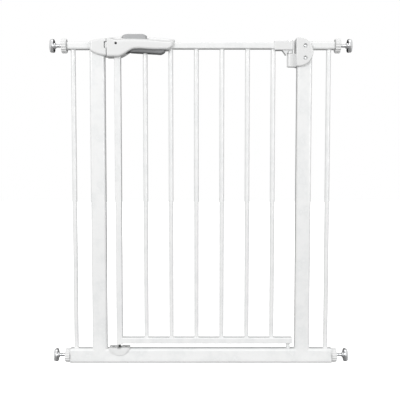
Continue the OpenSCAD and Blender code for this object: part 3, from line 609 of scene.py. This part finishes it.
keeperPockets = [pocketCut(x, z, keeper["screwFloor"], section["half"], keeper["screwPocket"])
                 for x, z in keeper["screws"]]
for side, sideName, share, cuts in ((-1, "front", 1, []), (1, "rear", keeper["rearRoof"], keeperPockets)):
    shell, lobes = keeperSolids(side, share)
    makePiece("keeper_shell_" + sideName, shell, "frame", "white_plastic", ["keeper_" + sideName], cuts)
    makePiece("keeper_catch_" + sideName, lobes, "frame", "white_plastic")


def screwHead(axis, middle, face, out, radius, height, slotWide=.8, slotLong=.62):
    # A domed head, sunk along a cross: the dome is height * (.45 + .55 sqrt(1 - (r / radius)^2)), and the
    # cross is cut where a point is near one of the two middle lines
    r = np.concatenate([np.linspace(.02, 1, 20), [1]])
    angle = np.linspace(0, 2 * halfTurn, 72, endpoint=False)
    a, b = radius * r[:, None] * np.cos(angle), radius * r[:, None] * np.sin(angle)
    near, far = np.minimum(np.abs(a), np.abs(b)), np.maximum(np.abs(a), np.abs(b))
    cross = step((slotWide / 2 - near) / .25 + .5) * step((slotLong * radius - far) / .4 + .5)
    rise = height * (.45 + .55 * np.sqrt(1 - .98 * r[:, None] ** 2)) - cross * height * .7
    rise[-1] = 0
    top = face + out * rise
    rings = np.stack([(top, a, b), (a, top, b), (a, b, top)][axis], -1)
    return closedSkin(rings + np.asarray(middle, float))


def shank(axis, middle, start, end, radius):
    # the plain shank under a head, pointed at its start
    profile = [(start, radius * .6), (start + .8 * np.sign(end - start), radius), (end, radius)]
    return turned(axis, middle, profile, 20)


headFace = handle["screwFace"] + .1
screwParts = [screwHead(1, (x, 0, z), headFace, 1, handle["screwHead"], 1.35) for x, z in handle["screws"]]
screwParts += [shank(1, (x, 0, z), handle["screwStart"], headFace, handle["screwShank"])
               for x, z in handle["screws"]]
makePiece("handle_screw_set", screwParts, "door", "zinc_steel", ["handle_screws"])

# slider: a stadium in plan whose top falls away at both ends, with grooves across it and a thumb dimple
slider = dict(stations=141, crown=17, endDrop=4.5, lower=1, shoulder=4.2, grooves=(-160.5, -155.5, -150.5),
              grooveWide=.9, grooveDepth=.5, dimpleX=-177.5, dimpleWide=3, dimpleLong=5, dimpleDepth=1.5,
              postR=2.5, postTop=768)
sliderMiddle, sliderHalf = middleOf(sliderBox, 0), (sliderBox[3] - sliderBox[0]) / 2
sliderX = sliderMiddle + sliderHalf * np.sin(np.linspace(-1, 1, slider["stations"]) * halfTurn / 2)
fromMiddle = np.abs(sliderX - sliderMiddle)
sliderWide = sliderBox[4]
intoEnd = np.clip((fromMiddle - sliderHalf + sliderWide) / sliderWide, 0, .9999)
halfWide = sliderWide * np.sqrt(1 - intoEnd ** 2)
towardsEnd = np.clip((fromMiddle - slider["crown"]) / (sliderHalf - slider["crown"]), 0, 1)
sliderTop = sliderBox[5] - slider["lower"] - slider["endDrop"] * towardsEnd ** 2
sliderRound = np.minimum(halfWide * .7, slider["shoulder"])[:, None] * np.array([1, 1, .08, .08])
sliderLow = np.full(slider["stations"], handle["recessFloor"] + .2)
sliderFlat = roundRects(-halfWide, halfWide, sliderLow, sliderTop, sliderRound, 10)
sliderRings = across(0, sliderX, sliderFlat)
onTop = step((sliderRings[..., 2] - sliderTop[:, None] + 3) / 2.4)
# each groove and the dimple are bells: depth * exp(-(distance / width)^2)
acrossX, acrossY = sliderRings[..., 0], sliderRings[..., 1]
groove = slider["grooveDepth"] * sum(np.exp(-((acrossX - x) / slider["grooveWide"]) ** 2)
                                     for x in slider["grooves"])
dimple = slider["dimpleDepth"] * np.exp(-((acrossX - slider["dimpleX"]) / slider["dimpleWide"]) ** 2
                                        - (acrossY / slider["dimpleLong"]) ** 2)
sliderRings[..., 2] -= onTop * (groove + dimple)
postProfile = [(sliderBox[2], slider["postR"] - .3), (sliderBox[2] + .4, slider["postR"]),
               (slider["postTop"], slider["postR"])]
post = turned(2, (sliderMiddle, 0, 0), postProfile, 28)
makePiece("slider_cap", [closedSkin(sliderRings), post], "lock_slider", "grey_plastic", ["lock_slider"])

# squeeze bar: a web that deepens towards its tip, between two cheeks
squeeze = dict(left=-165, heel=-95, webTop=738.2, leftLow=736.6, rightLow=732.5, tipRise=5.2, endRun=2.4,
               edge=2.4, cheekIn=10, cheekOut=12.5, cheekLow=737.6, barHole=6.3, springHole=4.3, holeLow=730,
               springFloor=734, holeTop=745)
webX = np.concatenate([squeeze["left"] + np.array([0, .4, 1.2, 2.4]),
                       np.linspace(squeeze["left"] + 4, squeeze["heel"] - 2, 40),
                       np.linspace(squeeze["heel"] - 1, barBox[3], 24)])
webShare = np.clip((webX - squeeze["left"]) / (squeeze["heel"] - squeeze["left"]), 0, 1)
tip = np.clip((webX - squeeze["heel"]) / (barBox[3] - squeeze["heel"]), 0, 1)
webLow = squeeze["leftLow"] + (squeeze["rightLow"] - squeeze["leftLow"]) * webShare
webLow = webLow + squeeze["tipRise"] * tip ** 1.7
ends = np.clip(1 - (webX - squeeze["left"]) / squeeze["endRun"], 0, 1)
webHalf = barBox[4] - 1.2 * ends ** 2 - 5 * tip ** 4
webTop = np.full(len(webX), squeeze["webTop"])
webEdges = np.array([[.1, .1, squeeze["edge"], squeeze["edge"]]])
webRound = np.minimum(1, (webTop - webLow) / 3.6)[:, None] * webEdges
webFlat = roundRects(-webHalf, webHalf, webLow, webTop, webRound, 8)
cheekIn, cheekOut = squeeze["cheekIn"], squeeze["cheekOut"]
cheeks = [softBlock(barBox[0], barBox[3] - .2, y0, y1, squeeze["cheekLow"], barBox[5], .6)
          for y0, y1 in ((-cheekOut, -cheekIn), (cheekIn, cheekOut))]
barHoles = []
for node, low, r, count in (("door_bar_1", squeeze["holeLow"], squeeze["barHole"], 40),
                            ("release_spring", squeeze["springFloor"], squeeze["springHole"], 32)):
    hole = [(low, .4), (low, r), (squeeze["holeTop"], r), (squeeze["holeTop"], .4)]
    barHoles.append(turned(2, (middleOf(boxOf(node), 0), 0, 0), hole, count))
makePiece("squeeze_web", [closedSkin(across(0, webX, webFlat))], "release_bar", "dark_grip", ["squeeze_bar"],
          barHoles)
makePiece("squeeze_cheeks", cheeks, "release_bar", "dark_grip")
print("latch")

coverBox = boxOf("hinge_cover_front")
hingeX = middleOf(boxOf("upper_hinge_pin"), 0)
coverMiddle = middleOf(coverBox, 2)
cover = dict(radius=(coverBox[5] - coverBox[2]) / 2, left=221, half=20, fillet=3, dome=.5, corner=4,
             screwX=242, screwUp=14, pocket=4.7, pocketDepth=4.4, head=3, headHigh=2.3, shank=2.4, bossR=7.5,
             bossTop=733, bossEdge=1.4)


def coverHalf(side):
    # The cover's outline carried out from the seam; its front edge rounds over a quarter circle onto a face
    # that is slightly domed: depth = half - dome * (distance from the middle / reach)^2
    r, left = cover["radius"], cover["left"]
    middleX, middleZ = coverBox[3] - r, coverMiddle
    corners = [(middleX, middleZ + r), (left, middleZ + r), (left, middleZ - r), (middleX, middleZ - r)]
    bend = softened(corners, [cover["corner"]] * 2, 8)[1:-1]
    outline = np.concatenate([arc((middleX, middleZ), r, -90, 90, 90), bend])
    closed = np.concatenate([outline, outline[:1]])
    at = np.concatenate([[0], np.cumsum(np.linalg.norm(np.diff(closed, axis=0), axis=1))])
    even = np.linspace(0, at[-1], 180, endpoint=False)
    outline = np.stack([np.interp(even, at, closed[:, 0]), np.interp(even, at, closed[:, 1])], -1)
    centre = np.array([(left + middleX + r) / 2, middleZ])
    reach = np.linalg.norm(outline - centre, axis=1)[None, :]
    turn = np.linspace(0, halfTurn / 2, 9)[1:, None]
    fillet = cover["fillet"]
    share = np.linspace(1, .02, 18)[1:, None]
    rimDepth = cover["half"] - cover["dome"] * (reach / reach.max()) ** 2 - fillet
    wallShare = np.linspace(0, 1, 11)[:, None]
    wall = section["seam"] + wallShare * (rimDepth - section["seam"])
    scale = np.concatenate([np.ones_like(wall), 1 - fillet * (1 - np.cos(turn)) / reach,
                            share * (1 - fillet / reach)])
    onFace = len(wallShare) + len(turn)
    face = cover["half"] - cover["dome"] * (scale[onFace:] * reach / reach.max()) ** 2
    depth = np.concatenate([wall, rimDepth + fillet * np.sin(turn), face])
    flat = centre + (outline - centre) * scale[..., None]
    return closedSkin(np.stack([flat[..., 0], side * depth, flat[..., 1]], -1))


def bossHalf(side):
    # half of the stadium round the bush, its rims rounded over
    r, seam, inCover = cover["bossR"], section["seam"], cover["left"] + 1.5
    flatSide = [(inCover, r), (inCover, seam), (hingeX - r, seam)]
    outline = np.concatenate([arc((hingeX, 0), r, 180, 90, 24), flatSide])
    outline[:, 1] = np.maximum(outline[:, 1], seam) * side
    return plate(2, outline, coverBox[2], cover["bossTop"], cover["bossEdge"], 6)


pocketFloor = cover["pocketDepth"] - cover["half"]
coverScrews = [(cover["screwX"], coverMiddle + up) for up in (cover["screwUp"], -cover["screwUp"])]
coverCuts = [pocketCut(x, z, pocketFloor, .3 - cover["half"], cover["pocket"]) for x, z in coverScrews]
makePiece("cover_shell_front", [coverHalf(-1)], "frame", "white_plastic", ["hinge_cover_front"], coverCuts)
makePiece("cover_shell_rear", [coverHalf(1)], "frame", "white_plastic", ["hinge_cover_rear"])
makePiece("cover_boss", [bossHalf(-1), bossHalf(1)], "frame", "white_plastic")
hingeScrews = [screwHead(1, (x, 0, z), pocketFloor, -1, cover["head"], cover["headHigh"], 1.1, .66)
               for x, z in coverScrews]
hingeScrews += [shank(1, (x, 0, z), 15, pocketFloor - 1.2, cover["shank"]) for x, z in coverScrews]
makePiece("hinge_screw_set", hingeScrews, "frame", "zinc_steel", ["hinge_screws"])

# sleeve on the door's top rail: a block with one end rounded in plan, a pointed tooth and a collar under it
# tooth: its left end, tip and right end along X, and the radius of its tip
fitting = dict(low=741.5, edge=1.4, endRound=5, tooth=(190, 198.5, 205.5), toothTip=1.6, toothHalf=8,
               collar=7, collarLow=733.4)
fittingBox = boxOf("hinge_fitting")
fittingLow = fitting["low"]
sleeve = softBlock(fittingBox[0], fittingBox[3], fittingBox[1], fittingBox[4], fittingLow, fittingBox[5],
                   fitting["edge"], 2, (fitting["endRound"], 1.5, 1.5, fitting["endRound"]), 4)
toothLeft, toothTip, toothRight = fitting["tooth"]
toothCorners = [(toothLeft, fittingLow + 1.5), (toothLeft, fittingLow), (toothTip, fittingBox[2]),
                (toothRight, fittingLow), (toothRight, fittingLow + 1.5)]
tooth = rounded(toothCorners, [.5, .5, fitting["toothTip"], .5, .5], 5)
collarProfile = [(fitting["collarLow"], 3), (fitting["collarLow"], fitting["collar"] - .6),
                 (fitting["collarLow"] + .6, fitting["collar"]), (fittingLow + 1, fitting["collar"])]
collar = turned(2, (hingeX, 0, 0), collarProfile, 48)
makePiece("top_sleeve", [sleeve, plate(1, tooth, -fitting["toothHalf"], fitting["toothHalf"], .7, 3), collar],
          "door", "white_plastic", ["hinge_fitting"])
print("hinge")

# catch: a half-moon over the base rail, flat on top, with a channel for the bolt and a screw on each side
catch = dict(middleZ=45.8, radius=26.3, low=35.7, high=37.5, edge=1, channel=4.5, channelTop=46, bolts=15,
             boltHead=3.1, boltRise=.6, shank=1.7, shankLow=27)
catchBox = boxOf("lower_keeper")
catchX, catchTop = middleOf(catchBox, 0), catch["high"]
tilt = math.degrees(math.asin((catch["middleZ"] - catchTop) / catch["radius"]))
moon = arc((catchX, catch["middleZ"]), catch["radius"], 180 + tilt, 360 - tilt, 70)
chordHalf = moon[-1, 0] - catchX - .15
moon = np.concatenate([moon, [(catchX + out, catchTop) for out in (chordHalf, 9, -9, -chordHalf)]])
channelCut = softBlock(catchX - catch["channel"], catchX + catch["channel"], -20, 20, catch["low"],
                       catch["channelTop"], .2, 1, (.2, .2, .7, .7))
moonPlate = plate(1, moon, catchBox[1], catchBox[4], catch["edge"], 4)
makePiece("floor_catch", [moonPlate], "frame", "white_plastic", ["lower_keeper"], [channelCut])
keeperFace = keeper["screwFloor"] + .1
frameScrews = []
for boltX in (catchX - catch["bolts"], catchX + catch["bolts"]):
    frameScrews.append(screwHead(2, (boltX, 0, 0), catchTop - .1, 1, catch["boltHead"], catch["boltRise"]))
    frameScrews.append(shank(2, (boltX, 0, 0), catch["shankLow"], catchTop - .5, catch["shank"]))
for x, z in keeper["screws"]:
    frameScrews.append(screwHead(1, (x, 0, z), keeperFace, 1, keeper["screwHead"], 1.9))
    frameScrews.append(shank(1, (x, 0, z), 2, keeperFace, keeper["screwShank"]))
makePiece("frame_screw_set", frameScrews, "frame", "zinc_steel", ["frame_screws"])
print("catch on the base rail")

thread = dict(radius=4, depth=.62, pitch=1.25, perTurn=36, perPitch=7)
wheel = dict(radius=17, notches=16, notchDepth=1.5, notchWidth=1.6)
foot = dict(hubR=6.5, neckR=12.6, discR=15.5)


def threadedRod(side, z, inner, outer):
    # A helix: radius = thread radius - depth * |triangle wave of (place / pitch - angle / turn)|
    count = int((outer - inner) / thread["pitch"] * thread["perPitch"])
    stations = np.linspace(inner, outer, count)
    angle = np.linspace(0, 2 * halfTurn, thread["perTurn"], endpoint=False)
    wave = np.abs(2 * ((stations[:, None] / thread["pitch"] - angle / (2 * halfTurn)) % 1) - 1)
    ease = np.minimum(1, np.minimum(stations - inner, outer - stations) / 1.2)[:, None]
    radius = thread["radius"] - thread["depth"] * step(1.6 * wave - .3) - .8 * (1 - ease)
    flat = np.stack([radius * np.cos(angle), z + radius * np.sin(angle)], -1)
    return closedSkin(across(0, side * stations, flat))


def gripWheel(side, z, box):
    # A turned wheel: hollow back, hub, dished front; its rim dips by depth * exp(-(arc / width)^2) at a notch
    x0, x1 = (box[0], box[3]) if side > 0 else (-box[3], -box[0])
    hollow = [(6, 4), (.6, 4.4), (0, 4.9), (0, 6.6), (.6, 7), (6, 7.3), (6, 13.6), (.6, 14), (0, 14.5)]
    rim = [(0, 15.7), (.3, 16.4), (.9, 16.8), (1.8, wheel["radius"])]
    dish = [(0, 13.4), (.3, 12.8), (1.3, 12), (1.5, 9), (1.2, 7.6), (.3, 7), (0, 6.4), (0, 4.6), (2, 4)]
    profile = [(x0 + a, r) for a, r in hollow + rim + [(6, wheel["radius"])]]
    profile += [(x1 - a, r) for a, r in rim[::-1] + dish]
    angle = np.linspace(0, 2 * halfTurn, 192, endpoint=False)
    turn = 2 * halfTurn / wheel["notches"]
    fromNotch = np.abs((angle + turn / 2) % turn - turn / 2) * wheel["radius"]
    onRim = step((np.array(profile)[:, 1, None] - 14.8) / 1.6)
    ripple = -wheel["notchDepth"] * np.exp(-(fromNotch / wheel["notchWidth"]) ** 2) * onRim
    profile = [(side * a, r) for a, r in profile]
    return turned(0, (0, 0, z), profile, 192, ripple)


def wallFoot(side, z, box):
    # A hub flares into a dished disc with a rolled rim
    x0, x1 = (box[0], box[3]) if side > 0 else (-box[3], -box[0])
    flare = np.linspace(0, 1, 8)
    profile = [(x0 + .5, 4.1), (x0, 4.5), (x0, 6), (x0 + .4, foot["hubR"]), (x0 + 2.6, foot["hubR"])]
    flareR = foot["hubR"] + (foot["neckR"] - foot["hubR"]) * flare[1:] ** 1.6
    profile += list(zip(x0 + 2.6 + 2.2 * flare[1:] ** .5, flareR))
    profile += [(x0 + 4.5, 13.4), (x0 + 4, 14), (x0 + 3.9, 14.7), (x0 + 4.2, 15.2), (x0 + 4.9, foot["discR"])]
    profile += [(x1 - .6, foot["discR"]), (x1, 15), (x1, 4)]
    return turned(0, (0, 0, z), [(side * a, r) for a, r in profile], 96)


def wallPad(side, z, box):
    # A soft disc with a bulging side and two ring grooves in the face that meets the wall
    x0, x1 = (box[0], box[3]) if side > 0 else (-box[3], -box[0])
    grooves = [(0, 11.8), (.7, 11.5), (.7, 10.7), (0, 10.4), (0, 7.4), (.7, 7.1), (.7, 6.3), (0, 6), (0, .5)]
    profile = [(x0, 3), (x0, 14.4), (x0 + .5, 14.9), (x0 + 2, 15), (x1 - .9, 15), (x1 - .2, 14.6), (x1, 14)]
    profile += [(x1 - a, r) for a, r in grooves]
    return turned(0, (0, 0, z), [(side * a, r) for a, r in profile], 96)


for spindle in ("upper_left", "lower_left", "upper_right", "lower_right"):
    outSide = 1 if spindle.endswith("right") else -1
    rodBox = boxOf(spindle + "_rod")
    axisZ = middleOf(rodBox, 2)
    inner, outer = sorted((abs(rodBox[0]), abs(rodBox[3])))
    slides, turns = spindle + "_spindle", spindle + "_wheel"
    rod = threadedRod(outSide, axisZ, inner, outer)
    grip = gripWheel(outSide, axisZ, boxOf(spindle + "_wheel"))
    disc = wallFoot(outSide, axisZ, boxOf(spindle + "_foot"))
    cushion = wallPad(outSide, axisZ, boxOf(spindle + "_pad"))
    makePiece(spindle + "_thread", [rod], slides, "zinc_steel", [spindle + "_rod"])
    makePiece(spindle + "_grip", [grip], turns, "white_plastic", [spindle + "_wheel"], (), 50)
    makePiece(spindle + "_disc", [disc], slides, "plated_steel", [spindle + "_foot"])
    makePiece(spindle + "_cushion", [cushion], slides, "pad_rubber", [spindle + "_pad"])
print("spindles")

# weld: bead sizes, and how far and how often they ripple; reach: how far a bead in a corner runs along Y
weld = dict(bar=1.7, frame=2.6, top=2.08, door=1.7, wave=.12, ripples=26, rootIn=.6, uprightReach=6.5,
            topReach=5, doorReach=6)


def beadRound(axis, middle, at, out, radius, size):
    # A weld bead round a bar where it meets a face: the profile is a hollow quarter, rippled along its length
    t = np.linspace(0, halfTurn / 2, 7)
    away, rise = size * (1 - np.sin(t)), size * (1 - np.cos(t))
    fillet = list(zip(at + out * rise, radius + away))
    profile = [(at, radius - .4)] + fillet + [(at + out * size, radius - .4)]
    angle = np.linspace(0, 2 * halfTurn, 96, endpoint=False)
    ripple = np.zeros((len(profile), 96))
    swell = np.sin(np.linspace(0, halfTurn, 7))[:, None]
    ripple[1:-1] = weld["wave"] * np.sin(angle * weld["ripples"]) * swell
    return turned(axis, middle, profile, 96, ripple)


def beadAlong(corner, dirA, dirB, low, high, size):
    # A weld bead in a corner along Y: a hollow fillet between two faces, rippled, thinning out at both ends
    y = np.linspace(low, high, 60)
    t = np.linspace(0, halfTurn / 2, 8)
    thin = np.sqrt(np.clip(1 - (2 * (y - low) / (high - low) - 1) ** 8, .02, 1))[:, None]
    grow = size * thin * (1 + weld["wave"] * .5 * np.sin(y * 3.4)[:, None])
    root = np.full_like(grow, -weld["rootIn"])
    a = corner[0] + dirA * np.concatenate([root, grow * (1 - np.sin(t)), root], 1)
    b = corner[1] + dirB * np.concatenate([root, grow * (1 - np.cos(t)), grow], 1)
    return closedSkin(np.stack([a, np.broadcast_to(y[:, None], a.shape), b], -1))


baseBox, uprightBox, topTube = boxOf("base_rail"), boxOf("right_upright"), boxOf("right_top_tube")
sideBar = boxOf("right_side_bar")
barR = (sideBar[3] - sideBar[0]) / 2
reach, topReach, doorReach = weld["uprightReach"], weld["topReach"], weld["doorReach"]
frameBeads, doorBeads = [], []
for s in (-1, 1):
    for edgeX, dirX in ((uprightBox[3], 1), (uprightBox[0], -1)):
        frameBeads.append(beadAlong((s * edgeX, baseBox[5]), s * dirX, 1, -reach, reach, weld["frame"]))
    frameBeads.append(beadAlong((s * uprightBox[3], topTube[2]), s, -1, -topReach, topReach, weld["top"]))
    barX = s * middleOf(sideBar, 0)
    frameBeads.append(beadRound(2, (barX, 0, 0), baseBox[5], 1, barR, weld["bar"]))
    frameBeads.append(beadRound(2, (barX, 0, 0), topTube[2], -1, barR, weld["bar"]))
stileBox, lowRail, topRail = boxOf("door_stile"), boxOf("door_bottom_rail"), boxOf("door_top_rail")
doorBars = [middleOf(boxOf(node), 0) for node in sorted(frame["nodes"]) if node.startswith("door_bar_")]
for barX in doorBars:
    doorBeads.append(beadRound(2, (barX, 0, 0), lowRail[5], 1, barR, weld["bar"]))
    if handleBox[3] < barX < fittingBox[0] - barR:  # the other tops are inside the handle and the fitting
        doorBeads.append(beadRound(2, (barX, 0, 0), topRail[2], -1, barR, weld["bar"]))
doorBeads.append(beadAlong((stileBox[3], lowRail[5]), 1, 1, -doorReach, doorReach, weld["door"]))
makePiece("frame_welds", frameBeads, "frame", "white_enamel", (), (), 60)
makePiece("door_welds", doorBeads, "door", "white_enamel", (), (), 60)
print("welds")
